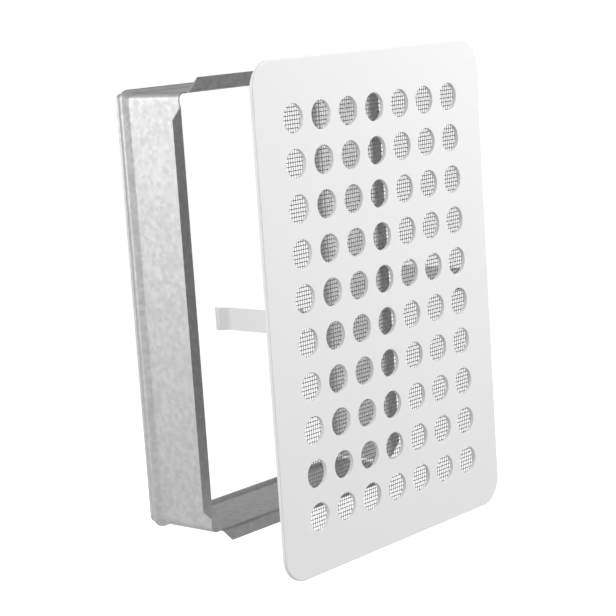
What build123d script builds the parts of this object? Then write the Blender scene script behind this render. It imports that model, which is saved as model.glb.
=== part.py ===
"""Ventilation grille for a 140 x 210 mm wall duct: a folded mounting frame and a push-in face panel.

Millimetres, +Z up. The origin is the centre of the wall opening, on the wall's surface: the flange's back
lies at Y = 0, the frame reaches into the wall along +Y, and the room is on the -Y side.
The panel stands pulled off the frame, and slides in along +Y until its plate meets the flange.
"""
from build123d import *
import os

# Face plate
plate_width = 165.0
plate_height = 235.0
plate_thickness = 2.0
plate_corner_radius = 13.0
plate_edge_chamfer = 0.4

# Air holes in the face plate
hole_diameter = 13.3
holes_across = 7
holes_down = 10
hole_pitch_across = 19.1
hole_pitch_down = 20.2

# Mounting frame, folded from galvanised sheet
sheet_thickness = 0.7
opening_width = 136.0
opening_height = 207.0
frame_depth = 42.5
frame_corner_radius = 2.5
flange_width = 6.8
flange_bend_radius = 0.5
flange_corner_gap = 5.0

# Bead rolled outwards round the frame near its rear end, and the lip behind it that the spring clips catch on
bead_offset = 1.8
bead_slope_length = 2.2
bead_crest_length = 1.5
bead_return_length = 2.7
bead_lip_length = 1.8

# Woven wire mesh, in which each strand stands for a band of fine wires
wire_diameter = 0.45
mesh_strand_width = 2.6
mesh_clearance = 1.5

# Spring clips
clip_thickness = 0.5
clip_width = 10.4
clip_foot_length = 9.0
clip_foot_bend_radius = 1.0
clip_leaf_length = 38.2
clip_leaf_bend_radius = 5.0
clip_barb_length = 4.7
clip_barb_rise = 2.4
clip_barb_radius = 1.2
clip_barb_clearance = 0.3
clip_tip_length = 2.6
clip_tip_drop = 0.8

# How far the plate's back stands off the flange
panel_pull = 55.5

# Places that follow from the sizes
half_width = opening_width / 2
half_height = opening_height / 2
flange_front = -sheet_thickness
frame_rear = flange_front + frame_depth
plate_back = flange_front - panel_pull
mesh_middle = plate_back + wire_diameter
mesh_back = mesh_middle + wire_diameter

os.makedirs("parts", exist_ok=True)

# Mounting frame: the folded section of the sheet goes once round the opening
bead_crest = half_width + bead_offset
bead_lip_start = frame_rear - bead_lip_length
bead_crest_end = bead_lip_start - bead_return_length
bead_crest_start = bead_crest_end - bead_crest_length
bead_start = bead_crest_start - bead_slope_length
notch_reach = 2 * flange_width

with BuildPart() as mounting_frame:
    with BuildLine(Plane.XZ) as opening_outline:
        FilletPolyline(
            (half_width, -half_height),
            (half_width, half_height),
            (-half_width, half_height),
            (-half_width, -half_height),
            radius=frame_corner_radius,
            close=True,
        )
    with BuildSketch() as folded_section:
        with BuildLine():
            flange_and_wall = FilletPolyline(
                (half_width + flange_width, flange_front),
                (half_width, flange_front),
                (half_width, bead_start),
                radius=flange_bend_radius + sheet_thickness,
            )
            Polyline(
                flange_and_wall @ 1,
                (bead_crest, bead_crest_start),
                (bead_crest, bead_crest_end),
                (half_width, bead_lip_start),
                (half_width, frame_rear),
            )
            offset(amount=sheet_thickness, side=Side.RIGHT, kind=Kind.INTERSECTION)
        make_face()
    sweep(path=opening_outline.wire())

    # Relief notches leave the corners open and cut the flange ends at 45 degrees, down to the bend line
    with BuildSketch(Plane.XZ.offset(sheet_thickness)):
        with BuildLine():
            Polyline(
                (half_width, half_height - flange_corner_gap),
                (half_width + notch_reach, half_height - flange_corner_gap - notch_reach),
                (half_width + notch_reach, half_height + notch_reach),
                (half_width - flange_corner_gap - notch_reach, half_height + notch_reach),
                (half_width - flange_corner_gap, half_height),
                close=True,
            )
        make_face()
        mirror(about=Plane.YZ)
        mirror(about=Plane.XZ)
    extrude(amount=-sheet_thickness - flange_bend_radius, mode=Mode.SUBTRACT)

mounting_frame.part.label = "mounting_frame"
export_step(mounting_frame.part, "parts/mounting_frame.step")

# Face plate: rounded sheet with a grid of air holes and a softened front edge
with BuildPart() as face_plate:
    with BuildSketch(Plane.XZ.offset(-plate_back)):
        RectangleRounded(plate_width, plate_height, plate_corner_radius)
        with GridLocations(hole_pitch_across, hole_pitch_down, holes_across, holes_down):
            Circle(hole_diameter / 2, mode=Mode.SUBTRACT)
    extrude(amount=plate_thickness)
    plate_front = face_plate.faces().sort_by(Axis.Y)[0]
    chamfer(plate_front.outer_wire().edges(), length=plate_edge_chamfer)

face_plate.part.label = "face_plate"
export_step(face_plate.part, "parts/face_plate.step")

# Wire mesh: level strands lie on the plate's back and upright strands cross behind them, one past each hole
mesh_width = opening_width - 2 * mesh_clearance
mesh_height = opening_height - 2 * mesh_clearance

with BuildPart() as wire_mesh:
    with BuildSketch(Plane.XZ.offset(-mesh_middle)):
        with GridLocations(0, hole_pitch_down, 1, holes_down):
            Rectangle(mesh_width, mesh_strand_width)
    extrude(amount=wire_diameter)

    with BuildSketch(Plane.XZ.offset(-mesh_middle)):
        with GridLocations(hole_pitch_across, 0, holes_across, 1):
            Rectangle(mesh_strand_width, mesh_height)
    extrude(amount=-wire_diameter)

wire_mesh.part.label = "wire_mesh"
export_step(wire_mesh.part, "parts/wire_mesh.step")

# Spring clips: a leaf whose foot holds the mesh on the plate, with a barb that rises outwards and a turned tip
clip_barb_top = half_width - clip_barb_clearance
clip_leaf = clip_barb_top - clip_barb_rise
clip_leaf_end = plate_back + clip_leaf_length
clip_barb_end = clip_leaf_end + clip_barb_length

with BuildPart() as spring_clip_right:
    with BuildSketch():
        with BuildLine():
            FilletPolyline(
                (clip_leaf - clip_foot_length, mesh_back),
                (clip_leaf, mesh_back),
                (clip_leaf, clip_leaf_end),
                (clip_barb_top, clip_barb_end),
                (clip_barb_top - clip_tip_drop, clip_barb_end + clip_tip_length),
                radius=[clip_foot_bend_radius + clip_thickness, clip_leaf_bend_radius, clip_barb_radius],
            )
            offset(amount=clip_thickness, side=Side.LEFT, kind=Kind.INTERSECTION)
        make_face()
    extrude(amount=clip_width / 2, both=True)

spring_clip_right.part.label = "spring_clip_right"
export_step(spring_clip_right.part, "parts/spring_clip_right.step")

with BuildPart() as spring_clip_left:
    mirror(spring_clip_right.part, about=Plane.YZ)

spring_clip_left.part.label = "spring_clip_left"
export_step(spring_clip_left.part, "parts/spring_clip_left.step")
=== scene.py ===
"""Looks of the ventilation grille: the perforated face panel pulled off its folded mounting frame.

Every piece is modelled in millimetres, in the part's own frame, and brought to metres when it is done.
+X is to the right as seen from the room, +Y goes into the wall and +Z is up.
"""
import math

import bmesh
import bpy
from mathutils import Matrix, Vector


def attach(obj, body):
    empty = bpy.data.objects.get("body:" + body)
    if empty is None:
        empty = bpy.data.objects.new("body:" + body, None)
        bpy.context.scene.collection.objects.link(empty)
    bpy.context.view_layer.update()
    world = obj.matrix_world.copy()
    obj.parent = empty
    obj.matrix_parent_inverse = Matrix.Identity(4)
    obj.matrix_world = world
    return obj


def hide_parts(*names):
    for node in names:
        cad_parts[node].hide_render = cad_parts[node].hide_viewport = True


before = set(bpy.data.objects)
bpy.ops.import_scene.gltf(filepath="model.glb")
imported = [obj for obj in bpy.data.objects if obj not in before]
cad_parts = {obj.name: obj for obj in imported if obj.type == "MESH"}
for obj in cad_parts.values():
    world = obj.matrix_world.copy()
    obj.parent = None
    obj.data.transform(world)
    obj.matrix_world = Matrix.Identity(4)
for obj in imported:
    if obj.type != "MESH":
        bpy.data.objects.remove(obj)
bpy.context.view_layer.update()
bpy.ops.object.select_all(action="DESELECT")

MM = 0.001
NEAR = 0.01
QUARTER_TURN = math.pi / 2

# Sheared edges of the sheets, which are sharper than any fold
SHEARED_ANGLE = math.radians(55)
SHEARED_ROUNDING = 0.1
SHEARED_STEPS = 2

# Mounting frame of galvanised sheet, with its bead as steps outwards and back into the wall
SHEET = 0.7
OPENING_HALF_WIDTH = 68.0
OPENING_HALF_HEIGHT = 103.5
FRAME_DEPTH = 42.5
FRAME_CORNER = 2.5
FRAME_CORNER_STEPS = 8
FLANGE_WIDTH = 6.8
FLANGE_FRONT = -SHEET
FLANGE_INNER_BEND = 0.5
FLANGE_BEND = FLANGE_INNER_BEND + SHEET
FLANGE_BEND_STEPS = 6
FLANGE_CORNER_GAP = 5.0
BEAD_OFFSET = 1.8
BEAD_SLOPE = 2.2
BEAD_CREST = 1.5
BEAD_RETURN = 2.7
BEAD_LIP = 1.8
BEAD_STEPS = (
    (BEAD_OFFSET, BEAD_SLOPE), (0, BEAD_CREST), (-BEAD_OFFSET, BEAD_RETURN), (0, BEAD_LIP),
)
BEAD_START = FLANGE_FRONT + FRAME_DEPTH - sum(back for out, back in BEAD_STEPS)
BEAD_ROLL = 0.6
BEAD_ROLL_STEPS = 4

# Face plate and its air holes
PANEL_PULL = 55.5
PLATE_WIDTH = 165.0
PLATE_HEIGHT = 235.0
PLATE_THICKNESS = 2.0
PLATE_BACK = FLANGE_FRONT - PANEL_PULL
PLATE_FRONT = PLATE_BACK - PLATE_THICKNESS
PLATE_CORNER = 13.0
HOLE_RADIUS = 6.65
HOLES_ACROSS = 7
HOLES_DOWN = 10
HOLE_PITCH_X = 19.1
HOLE_PITCH_Z = 20.2
HOLE_SIDES = 56
GRID_HALF_WIDTH = HOLES_ACROSS * HOLE_PITCH_X / 2
GRID_HALF_HEIGHT = HOLES_DOWN * HOLE_PITCH_Z / 2

# Rounding that the coat gives the plate's edges, as a radius and a count of steps
PLATE_EDGE = (0.5, 6)
HOLE_RIM = (0.12, 3)
BACK_EDGE = (0.12, 1)

# Woven wire mesh on the back of the plate
MESH_THICKNESS = 0.9
MESH_CLEARANCE = 1.5
MESH_HALF_WIDTH = OPENING_HALF_WIDTH - MESH_CLEARANCE
MESH_HALF_HEIGHT = OPENING_HALF_HEIGHT - MESH_CLEARANCE
WIRE = 0.38
WIRE_SIDES = 4
WIRE_END = 0.6
LEVEL_SWAY = MESH_THICKNESS - WIRE
UPRIGHT_SWAY = 0.24
UPRIGHT_WIRES = 87
LEVEL_WIRES = 109

# Spring clips, with the folds of a leaf's outer skin from the foot to the tip
CLIP_SHEET = 0.5
CLIP_HALF_WIDTH = 5.2
CLIP_FOOT_LENGTH = 9.0
CLIP_LEAF_LENGTH = 38.2
CLIP_BARB_LENGTH = 4.7
CLIP_BARB_RISE = 2.4
CLIP_BARB_CLEARANCE = 0.3
CLIP_TIP_LENGTH = 2.6
CLIP_TIP_DROP = 0.8
CLIP_BARB_TOP = OPENING_HALF_WIDTH - CLIP_BARB_CLEARANCE
CLIP_LEAF = CLIP_BARB_TOP - CLIP_BARB_RISE
CLIP_FOOT_END = CLIP_LEAF - CLIP_FOOT_LENGTH
CLIP_FOOT_Y = PLATE_BACK + MESH_THICKNESS
CLIP_LEAF_END = PLATE_BACK + CLIP_LEAF_LENGTH
CLIP_BARB_END = CLIP_LEAF_END + CLIP_BARB_LENGTH
CLIP_FOLDS = (
    (CLIP_LEAF, CLIP_FOOT_Y),
    (CLIP_LEAF, CLIP_LEAF_END),
    (CLIP_BARB_TOP, CLIP_BARB_END),
    (CLIP_BARB_TOP - CLIP_TIP_DROP, CLIP_BARB_END + CLIP_TIP_LENGTH),
)
CLIP_FOOT_BEND = 1.0 + CLIP_SHEET
CLIP_LEAF_BEND = 5.0
CLIP_BARB_BEND = 1.2
CLIP_BENDS = (CLIP_FOOT_BEND, CLIP_LEAF_BEND, CLIP_BARB_BEND)
CLIP_BEND_STEPS = 8


# Hand tools for modelling

def deselect_all():
    bpy.ops.object.select_all(action="DESELECT")


def start_edit(piece):
    bpy.context.view_layer.objects.active = piece
    piece.select_set(True)
    bpy.ops.object.mode_set(mode="EDIT")


def end_edit():
    bpy.ops.object.mode_set(mode="OBJECT")


def pick(piece, kind, test):
    """In edit mode, select the edges or faces whose corners all pass the test, in millimetres."""
    bpy.ops.mesh.select_mode(type={"edges": "EDGE", "faces": "FACE"}[kind])
    bpy.ops.mesh.select_all(action="DESELECT")
    shape = bmesh.from_edit_mesh(piece.data)
    for element in getattr(shape, kind):
        if all(test(*corner.co) for corner in element.verts):
            element.select_set(True)
    bmesh.update_edit_mesh(piece.data)


def pull(x, y, z):
    """In edit mode, extrude what is selected by that step."""
    bpy.ops.mesh.extrude_region_move(TRANSFORM_OT_translate={"value": (x, y, z)})


def round_off(radius, steps):
    """In edit mode, bevel the selected edges."""
    bpy.ops.mesh.bevel(offset=radius, segments=steps, affect="EDGES", clamp_overlap=False)


def make_normals_outward():
    """In edit mode, turn all faces outwards."""
    bpy.ops.mesh.select_all(action="SELECT")
    bpy.ops.mesh.normals_make_consistent(inside=False)


def strip(name, x_range, y, z_range):
    """A flat strip of sheet that faces the room, to fold the rest of a piece from."""
    deselect_all()
    middle = (sum(x_range) / 2, y, sum(z_range) / 2)
    bpy.ops.mesh.primitive_plane_add(size=1, location=middle, rotation=(QUARTER_TURN, 0, 0))
    piece = bpy.context.object
    piece.name = name
    piece.scale = (x_range[1] - x_range[0], z_range[1] - z_range[0], 1)
    bpy.ops.object.transform_apply(location=True, rotation=True, scale=True)
    return piece


def ring(name, sides, radius, middle, turn):
    """An open ring of edges, to draw a hole or a wire from."""
    deselect_all()
    bpy.ops.mesh.primitive_circle_add(
        vertices=sides, radius=radius, fill_type="NOTHING", location=middle, rotation=turn,
    )
    piece = bpy.context.object
    piece.name = name
    bpy.ops.object.transform_apply(location=True, rotation=True, scale=True)
    return piece


def finish_modifier(piece, kind, **settings):
    """Add a modifier to a piece and apply it."""
    bpy.context.view_layer.objects.active = piece
    modifier = piece.modifiers.new(kind.lower(), kind)
    for setting, value in settings.items():
        setattr(modifier, setting, value)
    bpy.ops.object.modifier_apply(modifier=modifier.name)


def repeat(piece, count, step):
    """Copy a piece side by side, with the corners that meet merged."""
    finish_modifier(
        piece, "ARRAY", count=count, use_relative_offset=False, use_constant_offset=True,
        constant_offset_displace=step, use_merge_vertices=True, merge_threshold=NEAR,
    )


def thicken(piece, thickness, outward):
    """Give a folded skin its sheet thickness, on the side that outward(face) says."""
    start_edit(piece)
    bpy.ops.mesh.select_all(action="SELECT")
    bpy.ops.mesh.remove_doubles(threshold=NEAR)
    make_normals_outward()
    shape = bmesh.from_edit_mesh(piece.data)
    lean = sum(outward(face) * face.calc_area() for face in shape.faces)
    if lean < 0:
        bpy.ops.mesh.flip_normals()
    end_edit()
    finish_modifier(
        piece, "SOLIDIFY", thickness=thickness, offset=1, use_even_offset=True,
        use_quality_normals=True,
    )


def soften_sheared_edges(piece):
    """Take the sharpness off the sheared edges of a sheet."""
    start_edit(piece)
    bpy.ops.mesh.select_mode(type="EDGE")
    bpy.ops.mesh.select_all(action="DESELECT")
    bpy.ops.mesh.edges_select_sharp(sharpness=SHEARED_ANGLE)
    bpy.ops.mesh.bevel(
        offset=SHEARED_ROUNDING, segments=SHEARED_STEPS, affect="EDGES", clamp_overlap=True,
    )
    end_edit()


def settle(piece, body, node, material, smooth_angle=40):
    """Bring a finished piece to metres, shade it, and tie it to the part."""
    deselect_all()
    bpy.context.view_layer.objects.active = piece
    piece.select_set(True)
    piece.scale = (MM, MM, MM)
    bpy.ops.object.transform_apply(location=True, rotation=True, scale=True)
    if smooth_angle:
        bpy.ops.object.shade_smooth_by_angle(angle=math.radians(smooth_angle))
        finish_modifier(piece, "WEIGHTED_NORMAL", keep_sharp=True)
    else:
        bpy.ops.object.shade_smooth()
    piece.data.materials.append(material)
    piece.select_set(False)
    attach(piece, body)
    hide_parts(node)


# Materials

def colour(code):
    """An sRGB hex code as linear red, green, blue and alpha."""
    parts = [int(code[i:i + 2], 16) / 255 for i in (1, 3, 5)]
    linear = [p / 12.92 if p <= 0.04045 else ((p + 0.055) / 1.055) ** 2.4 for p in parts]
    return (*linear, 1.0)


def add_node(tree, kind, sockets=None, **settings):
    """Add a node with its settings; a socket takes a value, or another node's output as a link."""
    made = tree.nodes.new(kind)
    for setting, value in settings.items():
        setattr(made, setting, value)
    for socket, value in (sockets or {}).items():
        if isinstance(value, bpy.types.NodeSocket):
            tree.links.new(value, made.inputs[socket])
        else:
            made.inputs[socket].default_value = value
    return made


def new_material(name):
    material = bpy.data.materials.new(name)
    material.use_nodes = True
    material.node_tree.nodes.clear()
    return material, material.node_tree


def use_shader(tree, shader):
    add_node(tree, "ShaderNodeOutputMaterial", {"Surface": shader.outputs[0]})


def set_tones(ramp, *stops):
    """Give a ramp its two tones, each with its place."""
    for element, (position, code) in zip(ramp.color_ramp.elements, stops):
        element.position = position
        element.color = colour(code)


def per_metre(size_mm):
    """The scale of a pattern whose detail is that many millimetres across."""
    return 1 / (size_mm * MM)


def galvanised_sheet():
    """Hot-dip galvanised steel: crystals a few millimetres across, some brighter and smoother."""
    material, tree = new_material("galvanised_steel_sheet")
    place = add_node(tree, "ShaderNodeTexCoord").outputs["Object"]

    # Crystals with ragged borders, in a cloudy coat
    drift = add_node(
        tree, "ShaderNodeTexNoise", {"Vector": place, "Scale": per_metre(2.5), "Detail": 3.0},
    )
    ragged = add_node(
        tree, "ShaderNodeMixRGB",
        {"Fac": 0.0022, "Color1": place, "Color2": drift.outputs["Color"]}, blend_type="ADD",
    )
    crystals = add_node(
        tree, "ShaderNodeTexVoronoi",
        {"Vector": ragged.outputs[0], "Scale": per_metre(2.2), "Smoothness": 0.5},
        feature="SMOOTH_F1",
    )
    crystal_tone = add_node(
        tree, "ShaderNodeSeparateColor", {"Color": crystals.outputs["Color"]},
    )
    cloud = add_node(
        tree, "ShaderNodeTexNoise",
        {"Vector": place, "Scale": per_metre(3.0), "Detail": 6.0, "Roughness": 0.6},
    )
    spangle = add_node(
        tree, "ShaderNodeMix",
        {"Factor": 0.6, "A": crystal_tone.outputs[0], "B": cloud.outputs["Fac"]},
    )

    zinc = add_node(tree, "ShaderNodeValToRGB", {"Fac": spangle.outputs[0]})
    set_tones(zinc, (0.25, "#989898"), (0.75, "#A6A6A6"))
    dullness = add_node(
        tree, "ShaderNodeMapRange",
        {
            "Value": spangle.outputs[0], "From Min": 0.25, "From Max": 0.75,
            "To Min": 0.50, "To Max": 0.46,
        },
    )
    relief = add_node(
        tree, "ShaderNodeBump",
        {"Height": spangle.outputs[0], "Strength": 0.12, "Distance": 0.04 * MM},
    )
    shader = add_node(
        tree, "ShaderNodeBsdfPrincipled",
        {
            "Base Color": zinc.outputs[0], "Roughness": dullness.outputs[0],
            "Normal": relief.outputs[0], "Metallic": 1.0,
        },
    )
    use_shader(tree, shader)
    return material


def white_coat(name, code, roughness, peel_mm):
    """Sprayed white coat: even and satin, with the faint orange peel that a baked coat keeps."""
    unevenness = 0.03
    material, tree = new_material(name)
    place = add_node(tree, "ShaderNodeTexCoord").outputs["Object"]
    cloud = add_node(
        tree, "ShaderNodeTexNoise", {"Vector": place, "Scale": per_metre(30.0), "Detail": 2.0},
    )
    dullness = add_node(
        tree, "ShaderNodeMapRange",
        {
            "Value": cloud.outputs["Fac"], "From Min": 0.3, "From Max": 0.7,
            "To Min": roughness - unevenness, "To Max": roughness + unevenness,
        },
    )
    peel = add_node(
        tree, "ShaderNodeTexNoise", {"Vector": place, "Scale": per_metre(peel_mm), "Detail": 2.0},
    )
    relief = add_node(
        tree, "ShaderNodeBump",
        {"Height": peel.outputs["Fac"], "Strength": 0.12, "Distance": 0.02 * MM},
    )
    shader = add_node(
        tree, "ShaderNodeBsdfPrincipled",
        {
            "Base Color": colour(code), "Roughness": dullness.outputs[0],
            "Normal": relief.outputs[0], "IOR": 1.5,
        },
    )
    use_shader(tree, shader)
    return material


def galvanised_wire():
    """Drawn steel wire with a thin zinc coat: a duller grey than the sheet, in patches."""
    material, tree = new_material("galvanised_steel_wire")
    place = add_node(tree, "ShaderNodeTexCoord").outputs["Object"]
    patches = add_node(
        tree, "ShaderNodeTexNoise", {"Vector": place, "Scale": per_metre(2.5), "Detail": 3.0},
    )
    zinc = add_node(tree, "ShaderNodeValToRGB", {"Fac": patches.outputs["Fac"]})
    set_tones(zinc, (0.3, "#767676"), (0.7, "#989898"))
    shader = add_node(
        tree, "ShaderNodeBsdfPrincipled",
        {"Base Color": zinc.outputs[0], "Metallic": 1.0, "Roughness": 0.55},
    )
    use_shader(tree, shader)
    return material


# Face plate

def hole_offset(value, pitch, count):
    """How far a place is from the middle of the nearest hole in its row."""
    index = round(value / pitch + (count - 1) / 2)
    index = min(max(index, 0), count - 1)
    return value - (index - (count - 1) / 2) * pitch


def on_hole_rim(x, z):
    across = hole_offset(x, HOLE_PITCH_X, HOLES_ACROSS)
    down = hole_offset(z, HOLE_PITCH_Z, HOLES_DOWN)
    return abs(math.hypot(across, down) - HOLE_RADIUS) < NEAR


def on_grid_edge(x, z):
    return abs(abs(x) - GRID_HALF_WIDTH) < NEAR or abs(abs(z) - GRID_HALF_HEIGHT) < NEAR


def on_outline(x, z):
    """True past the grid of holes, where the plate's only corners are those of its outline."""
    past_grid = 1.0
    return abs(x) > GRID_HALF_WIDTH + past_grid or abs(z) > GRID_HALF_HEIGHT + past_grid


def plate_outline(x, z):
    """The place on the plate's rounded outline that a place on the grid's edge is drawn out to."""
    straight_x = PLATE_WIDTH / 2 - PLATE_CORNER
    straight_z = PLATE_HEIGHT / 2 - PLATE_CORNER
    x = x / GRID_HALF_WIDTH * PLATE_WIDTH / 2
    z = z / GRID_HALF_HEIGHT * PLATE_HEIGHT / 2
    if abs(x) > straight_x and abs(z) > straight_z:
        centre = Vector((math.copysign(straight_x, x), math.copysign(straight_z, z)))
        x, z = (Vector((x, z)) - centre).normalized() * PLATE_CORNER + centre
    return x, z


def make_face_plate():
    """One hole and its square of sheet are repeated over the grid, then come border and thickness."""
    first_x = HOLE_PITCH_X / 2 - GRID_HALF_WIDTH
    first_z = HOLE_PITCH_Z / 2 - GRID_HALF_HEIGHT
    plate = ring(
        "perforated_face_plate", HOLE_SIDES, HOLE_RADIUS, (first_x, PLATE_FRONT, first_z),
        (QUARTER_TURN, 0, 0),
    )

    # The rim is drawn out to the square of sheet round the hole
    start_edit(plate)
    bpy.ops.mesh.select_mode(type="EDGE")
    bpy.ops.mesh.select_all(action="SELECT")
    pull(0, 0, 0)
    shape = bmesh.from_edit_mesh(plate.data)
    for corner in shape.verts:
        if corner.select:
            across = corner.co.x - first_x
            down = corner.co.z - first_z
            reach = max(abs(across), abs(down))
            corner.co.x = first_x + across / reach * HOLE_PITCH_X / 2
            corner.co.z = first_z + down / reach * HOLE_PITCH_Z / 2
    bmesh.update_edit_mesh(plate.data)
    end_edit()
    repeat(plate, HOLES_ACROSS, (HOLE_PITCH_X, 0, 0))
    repeat(plate, HOLES_DOWN, (0, 0, HOLE_PITCH_Z))

    # The border runs from the grid's edge out to the rounded outline
    start_edit(plate)
    pick(plate, "edges", lambda x, y, z: on_grid_edge(x, z))
    shape = bmesh.from_edit_mesh(plate.data)
    for edge in shape.edges:
        if edge.select and not edge.is_boundary:
            edge.select_set(False)
    bmesh.update_edit_mesh(plate.data)
    pull(0, 0, 0)
    shape = bmesh.from_edit_mesh(plate.data)
    for corner in shape.verts:
        if corner.select:
            corner.co.x, corner.co.z = plate_outline(corner.co.x, corner.co.z)
    bmesh.update_edit_mesh(plate.data)

    bpy.ops.mesh.select_mode(type="FACE")
    bpy.ops.mesh.select_all(action="SELECT")
    pull(0, PLATE_THICKNESS, 0)
    make_normals_outward()

    # Edges that the coat has rounded: the outline, and the hole rims front and back
    pick(plate, "edges", lambda x, y, z: abs(y - PLATE_FRONT) < NEAR and on_outline(x, z))
    round_off(*PLATE_EDGE)
    pick(plate, "edges", lambda x, y, z: abs(y - PLATE_FRONT) < NEAR and on_hole_rim(x, z))
    round_off(*HOLE_RIM)
    pick(
        plate, "edges",
        lambda x, y, z: abs(y - PLATE_BACK) < NEAR and (on_hole_rim(x, z) or on_outline(x, z)),
    )
    round_off(*BACK_EDGE)
    end_edit()
    return plate


# Woven wire mesh

def weave(name, upright, pitch_along, waves, pitch_across, first, count, starts_in_front):
    """Every second wire of one direction: a wave is bent, repeated to a wire, and that is copied."""
    side = -1 if starts_in_front else 1
    level_way, upright_way = Vector((1, 0, 0)), Vector((0, 0, 1))
    along, across = (upright_way, level_way) if upright else (level_way, upright_way)
    sway = UPRIGHT_SWAY if upright else LEVEL_SWAY
    middle = PLATE_BACK + MESH_THICKNESS / 2
    wire = ring(
        name, WIRE_SIDES, WIRE / 2, (first[0], middle + side * sway / 2, first[1]),
        (0, 0, 0) if upright else (0, QUARTER_TURN, 0),
    )
    start_edit(wire)
    bpy.ops.mesh.select_mode(type="EDGE")
    bpy.ops.mesh.select_all(action="SELECT")
    for way in (-side, side):
        pull(*(along * pitch_along + Vector((0, way * sway, 0))))
    end_edit()
    repeat(wire, waves, along * 2 * pitch_along)

    # The cut ends stand a little past the last crossing and are closed
    start_edit(wire)
    for end, out in ((min, -1), (max, 1)):
        shape = bmesh.from_edit_mesh(wire.data)
        last = end(along.dot(corner.co) for corner in shape.verts)
        pick(wire, "edges", lambda x, y, z: abs(along.dot((x, y, z)) - last) < NEAR)
        pull(*(along * out * WIRE_END))
        bpy.ops.mesh.edge_face_add()
    end_edit()
    repeat(wire, count, across * 2 * pitch_across)
    return wire


def make_wire_mesh():
    """Upright and level wires, the even ones and the odd ones of each half a wave apart."""
    first_x = WIRE_END - MESH_HALF_WIDTH
    first_z = WIRE_END - MESH_HALF_HEIGHT
    pitch_x = -2 * first_x / (UPRIGHT_WIRES - 1)
    pitch_z = -2 * first_z / (LEVEL_WIRES - 1)
    waves_up = (LEVEL_WIRES - 1) // 2
    waves_level = (UPRIGHT_WIRES - 1) // 2
    even = (first_x, first_z)
    odd_upright = (first_x + pitch_x, first_z)
    odd_level = (first_x, first_z + pitch_z)
    wires = [
        weave("woven_wire_mesh", True, pitch_z, waves_up, pitch_x, even, waves_level + 1, True),
        weave("odd_uprights", True, pitch_z, waves_up, pitch_x, odd_upright, waves_level, False),
        weave("even_levels", False, pitch_x, waves_level, pitch_z, even, waves_up + 1, False),
        weave("odd_levels", False, pitch_x, waves_level, pitch_z, odd_level, waves_up, True),
    ]
    for wire in wires:
        wire.select_set(True)
    bpy.context.view_layer.objects.active = wires[0]
    bpy.ops.object.join()
    mesh = wires[0]
    start_edit(mesh)
    make_normals_outward()
    end_edit()
    return mesh


# Mounting frame

def make_mounting_frame():
    """A quarter is folded from the right flange, turned round the corner, cut, and mirrored."""
    corner_x = OPENING_HALF_WIDTH - FRAME_CORNER
    corner_z = OPENING_HALF_HEIGHT - FRAME_CORNER
    bend_x = OPENING_HALF_WIDTH + FLANGE_BEND
    bend_y = FLANGE_FRONT + FLANGE_BEND
    sleeve = strip(
        "folded_mounting_frame", (bend_x, OPENING_HALF_WIDTH + FLANGE_WIDTH), FLANGE_FRONT,
        (0, corner_z),
    )
    start_edit(sleeve)
    pick(sleeve, "edges", lambda x, y, z: abs(x - bend_x) < NEAR)
    bpy.ops.mesh.spin(
        steps=FLANGE_BEND_STEPS, angle=QUARTER_TURN, center=(bend_x, bend_y, 0), axis=(0, 0, 1),
    )
    pull(0, BEAD_START - bend_y, 0)
    folds = []
    fold = Vector((OPENING_HALF_WIDTH, BEAD_START))
    for out, back in BEAD_STEPS:
        pull(out, back, 0)
        folds.append(fold)
        fold = fold + Vector((out, back))

    # Roll the bead's folds
    pick(
        sleeve, "edges",
        lambda x, y, z: any(math.hypot(x - place.x, y - place.y) < NEAR for place in folds),
    )
    round_off(BEAD_ROLL, BEAD_ROLL_STEPS)

    pick(sleeve, "edges", lambda x, y, z: abs(z - corner_z) < NEAR)
    bpy.ops.mesh.spin(
        steps=FRAME_CORNER_STEPS, angle=QUARTER_TURN, center=(corner_x, 0, corner_z),
        axis=(0, 1, 0),
    )
    pull(-corner_x, 0, 0)
    bpy.ops.mesh.select_all(action="SELECT")
    bpy.ops.mesh.remove_doubles(threshold=NEAR)

    # The flange ends are cut at 45 degrees, and the corner between them is open to the bend line
    cut = OPENING_HALF_WIDTH + OPENING_HALF_HEIGHT - FLANGE_CORNER_GAP
    pick(sleeve, "faces", lambda x, y, z: y < BEAD_START)
    bpy.ops.mesh.bisect(plane_co=(cut, 0, 0), plane_no=(1, 0, 1))
    pick(sleeve, "faces", lambda x, y, z: y < bend_y + NEAR and x + z > cut - NEAR)
    bpy.ops.mesh.delete(type="FACE")
    end_edit()
    finish_modifier(sleeve, "MIRROR", use_axis=(True, False, True), merge_threshold=NEAR)
    thicken(
        sleeve, SHEET, lambda face: face.normal.dot(face.calc_center_median() * Vector((1, 0, 1))),
    )
    soften_sheared_edges(sleeve)
    return sleeve


# Spring clips

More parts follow.
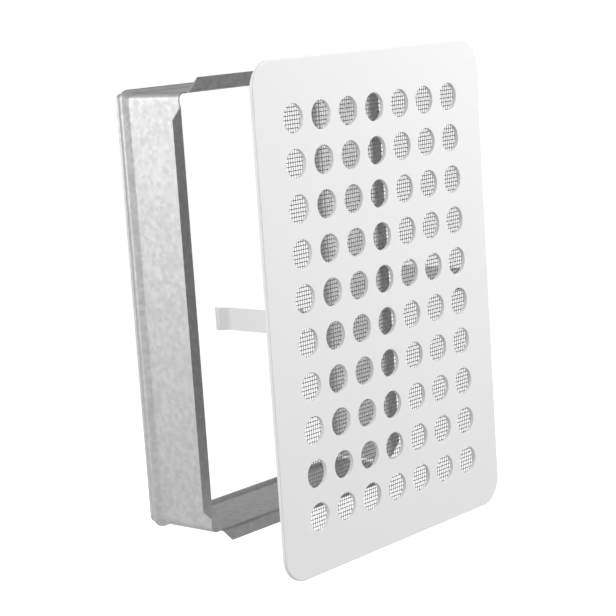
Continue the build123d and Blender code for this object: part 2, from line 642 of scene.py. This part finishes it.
def make_spring_clips():
    """A leaf is folded from its foot along the outer skin, and the left one is its mirror image."""
    right = strip(
        "spring_clip_leaf_right", (CLIP_FOOT_END, CLIP_LEAF), CLIP_FOOT_Y,
        (-CLIP_HALF_WIDTH, CLIP_HALF_WIDTH),
    )
    start_edit(right)
    pick(right, "edges", lambda x, y, z: abs(x - CLIP_LEAF) < NEAR)
    for here, there in zip(CLIP_FOLDS, CLIP_FOLDS[1:]):
        pull(there[0] - here[0], there[1] - here[1], 0)
    points = [Vector(point) for point in ((CLIP_FOOT_END, CLIP_FOOT_Y), *CLIP_FOLDS)]
    for before, fold, after, radius in zip(points, points[1:], points[2:], CLIP_BENDS):
        turn = (fold - before).angle(after - fold)
        pick(right, "edges", lambda x, y, z: math.hypot(x - fold.x, y - fold.y) < NEAR)
        round_off(radius * math.tan(turn / 2), CLIP_BEND_STEPS)
    end_edit()
    thicken(right, CLIP_SHEET, lambda face: -face.normal.x + face.normal.y)
    soften_sheared_edges(right)

    deselect_all()
    right.select_set(True)
    bpy.context.view_layer.objects.active = right
    bpy.ops.object.duplicate()
    left = bpy.context.object
    left.name = "spring_clip_leaf_left"
    start_edit(left)
    bpy.ops.mesh.select_all(action="SELECT")
    bpy.ops.transform.resize(value=(-1, 1, 1), center_override=(0, 0, 0))
    make_normals_outward()
    end_edit()
    return left, right


zinc_sheet = galvanised_sheet()
zinc_wire = galvanised_wire()
powder_coat = white_coat("white_powder_coat_on_steel", "#F0F0F0", roughness=0.45, peel_mm=1.1)
# The clips' paint is greyer than the plate's coat. It is partly their own light-grey white, and partly
# painted shade on their outer faces, which turn away from the key.
clip_paint = white_coat("white_paint_on_spring_steel", "#E2E2E2", roughness=0.4, peel_mm=0.8)

settle(make_face_plate(), "panel", "face_plate", powder_coat)
settle(make_wire_mesh(), "panel", "wire_mesh", zinc_wire, smooth_angle=0)
settle(make_mounting_frame(), "frame", "mounting_frame", zinc_sheet)
left_clip, right_clip = make_spring_clips()
settle(left_clip, "panel", "spring_clip_left", clip_paint)
settle(right_clip, "panel", "spring_clip_right", clip_paint)


# Studio, in metres

CAMERA_PLACE = (-0.6793, -0.6052, 0.1441)
CAMERA_RIGHT = Vector((0.64971, -0.75721, -0.06712))
CAMERA_UP = Vector((0.16823, 0.05711, 0.98409))
CAMERA_LENS = 109.52
CAMERA_SENSOR = 36.0
CAMERA_NEAR = 0.01

FLOOR_SIZE = 40
FLOOR_HEIGHT = -0.32
FLOOR_GLOW = 0.9
WORLD_LIGHT = 0.46
WORLD_WHITE = 1.0

PANEL_AIM = (0, -0.05, 0)
LEFT_WALL_AIM = (-0.07, 0.02, 0.05)
CARD_TURN = math.pi / 4


def set_camera():
    """The camera stands where the photograph was taken from."""
    lens = bpy.data.cameras.new("camera")
    lens.sensor_width = CAMERA_SENSOR
    lens.lens = CAMERA_LENS
    lens.clip_start = CAMERA_NEAR
    camera = bpy.data.objects.new("camera", lens)
    camera.location = CAMERA_PLACE
    axes = Matrix((CAMERA_RIGHT, CAMERA_UP, CAMERA_RIGHT.cross(CAMERA_UP)))
    camera.rotation_euler = axes.transposed().to_euler()
    bpy.context.scene.collection.objects.link(camera)
    bpy.context.scene.camera = camera


def seen_or_mirrored(tree):
    """1 for rays that see a surface, straight or in metal, and 0 for those that gather light."""
    path = add_node(tree, "ShaderNodeLightPath")
    seen = path.outputs["Is Camera Ray"]
    for ray in ("Is Glossy Ray", "Is Transmission Ray"):
        seen = add_node(
            tree, "ShaderNodeMath", {0: seen, 1: path.outputs[ray]}, operation="MAXIMUM",
        ).outputs[0]
    return seen


def lay_floor():
    """Pale floor that keeps shadows, with some glow of its own so that it is white elsewhere."""
    paint, tree = new_material("white_studio_floor")
    share = add_node(
        tree, "ShaderNodeMath", {0: seen_or_mirrored(tree), 1: FLOOR_GLOW}, operation="MULTIPLY",
    )
    matt = add_node(tree, "ShaderNodeBsdfDiffuse", {"Color": colour("#8C8C8C")})
    glow = add_node(
        tree, "ShaderNodeEmission", {"Color": colour("#FFFFFF"), "Strength": share.outputs[0]},
    )
    use_shader(tree, add_node(tree, "ShaderNodeAddShader", {0: matt.outputs[0], 1: glow.outputs[0]}))
    deselect_all()
    bpy.ops.mesh.primitive_plane_add(size=FLOOR_SIZE, location=(0, 0, FLOOR_HEIGHT))
    floor = bpy.context.object
    floor.name = "studio_floor"
    floor.data.materials.append(paint)


def set_world():
    """White where the world is seen or mirrored, and a dimmer white as light."""
    world = bpy.data.worlds.new("studio")
    bpy.context.scene.world = world
    world.use_nodes = True
    tree = world.node_tree
    tree.nodes.clear()
    light, white = (
        add_node(tree, "ShaderNodeBackground", {"Color": colour("#FFFFFF"), "Strength": strength})
        for strength in (WORLD_LIGHT, WORLD_WHITE)
    )
    mixed = add_node(
        tree, "ShaderNodeMixShader",
        {0: seen_or_mirrored(tree), 1: light.outputs[0], 2: white.outputs[0]},
    )
    add_node(tree, "ShaderNodeOutputWorld", {"Surface": mixed.outputs[0]})


def softbox(name, place, aim, size, watts, mirrored):
    """A square lamp; one that isn't mirrored lights the white coats and leaves no glare in the zinc."""
    lamp = bpy.data.lights.new(name, "AREA")
    lamp.shape = "SQUARE"
    lamp.size = size
    lamp.energy = watts
    box = bpy.data.objects.new(name, lamp)
    box.location = place
    box.rotation_euler = (Vector(aim) - Vector(place)).to_track_quat("-Z", "Y").to_euler()
    box.visible_camera = False
    box.visible_glossy = mirrored
    bpy.context.scene.collection.objects.link(box)


def dark_card(name, place, turn, width, height, paint):
    """An upright grey card that shows only as a mirror image in the zinc."""
    deselect_all()
    bpy.ops.mesh.primitive_plane_add(size=1, location=place, rotation=(QUARTER_TURN, 0, turn))
    card = bpy.context.object
    card.name = name
    card.scale = (width, height, 1)
    bpy.ops.object.transform_apply(location=True, rotation=True, scale=True)
    card.data.materials.append(paint)
    card.visible_camera = False
    card.visible_diffuse = False
    card.visible_shadow = False
    card.visible_transmission = False


set_camera()
lay_floor()
set_world()

# A key in front on the right, a fill on the left, a softbox behind on the left that the frame's outer
# wall mirrors, and a rear one that reaches the back of the panel
softbox("key_softbox", (0.34, -0.70, 0.52), PANEL_AIM, size=0.5, watts=6.7, mirrored=False)
softbox("fill_softbox", (-1.3, -0.5, 0.3), (0, 0, 0), size=0.9, watts=4.0, mirrored=True)
softbox("back_softbox", (-0.95, 0.85, 0.31), LEFT_WALL_AIM, size=0.8, watts=8.2, mirrored=True)
softbox("rear_softbox", (0.25, 1.10, 0.05), PANEL_AIM, size=0.5, watts=6.5, mirrored=False)

# One card in front on the right for the flanges, and one behind and above for the frame's top and foot
card_paint, card_tree = new_material("dark_card_paint")
use_shader(card_tree, add_node(card_tree, "ShaderNodeBsdfDiffuse", {"Color": colour("#747474")}))
dark_card("dark_card", (0.42, -0.40, 0.0), CARD_TURN, width=0.4, height=0.7, paint=card_paint)
dark_card(
    "dark_card_behind", (0.66, 0.585, 0.60), -CARD_TURN, width=0.9, height=0.45, paint=card_paint,
)

bpy.context.scene.view_settings.view_transform = "Standard"
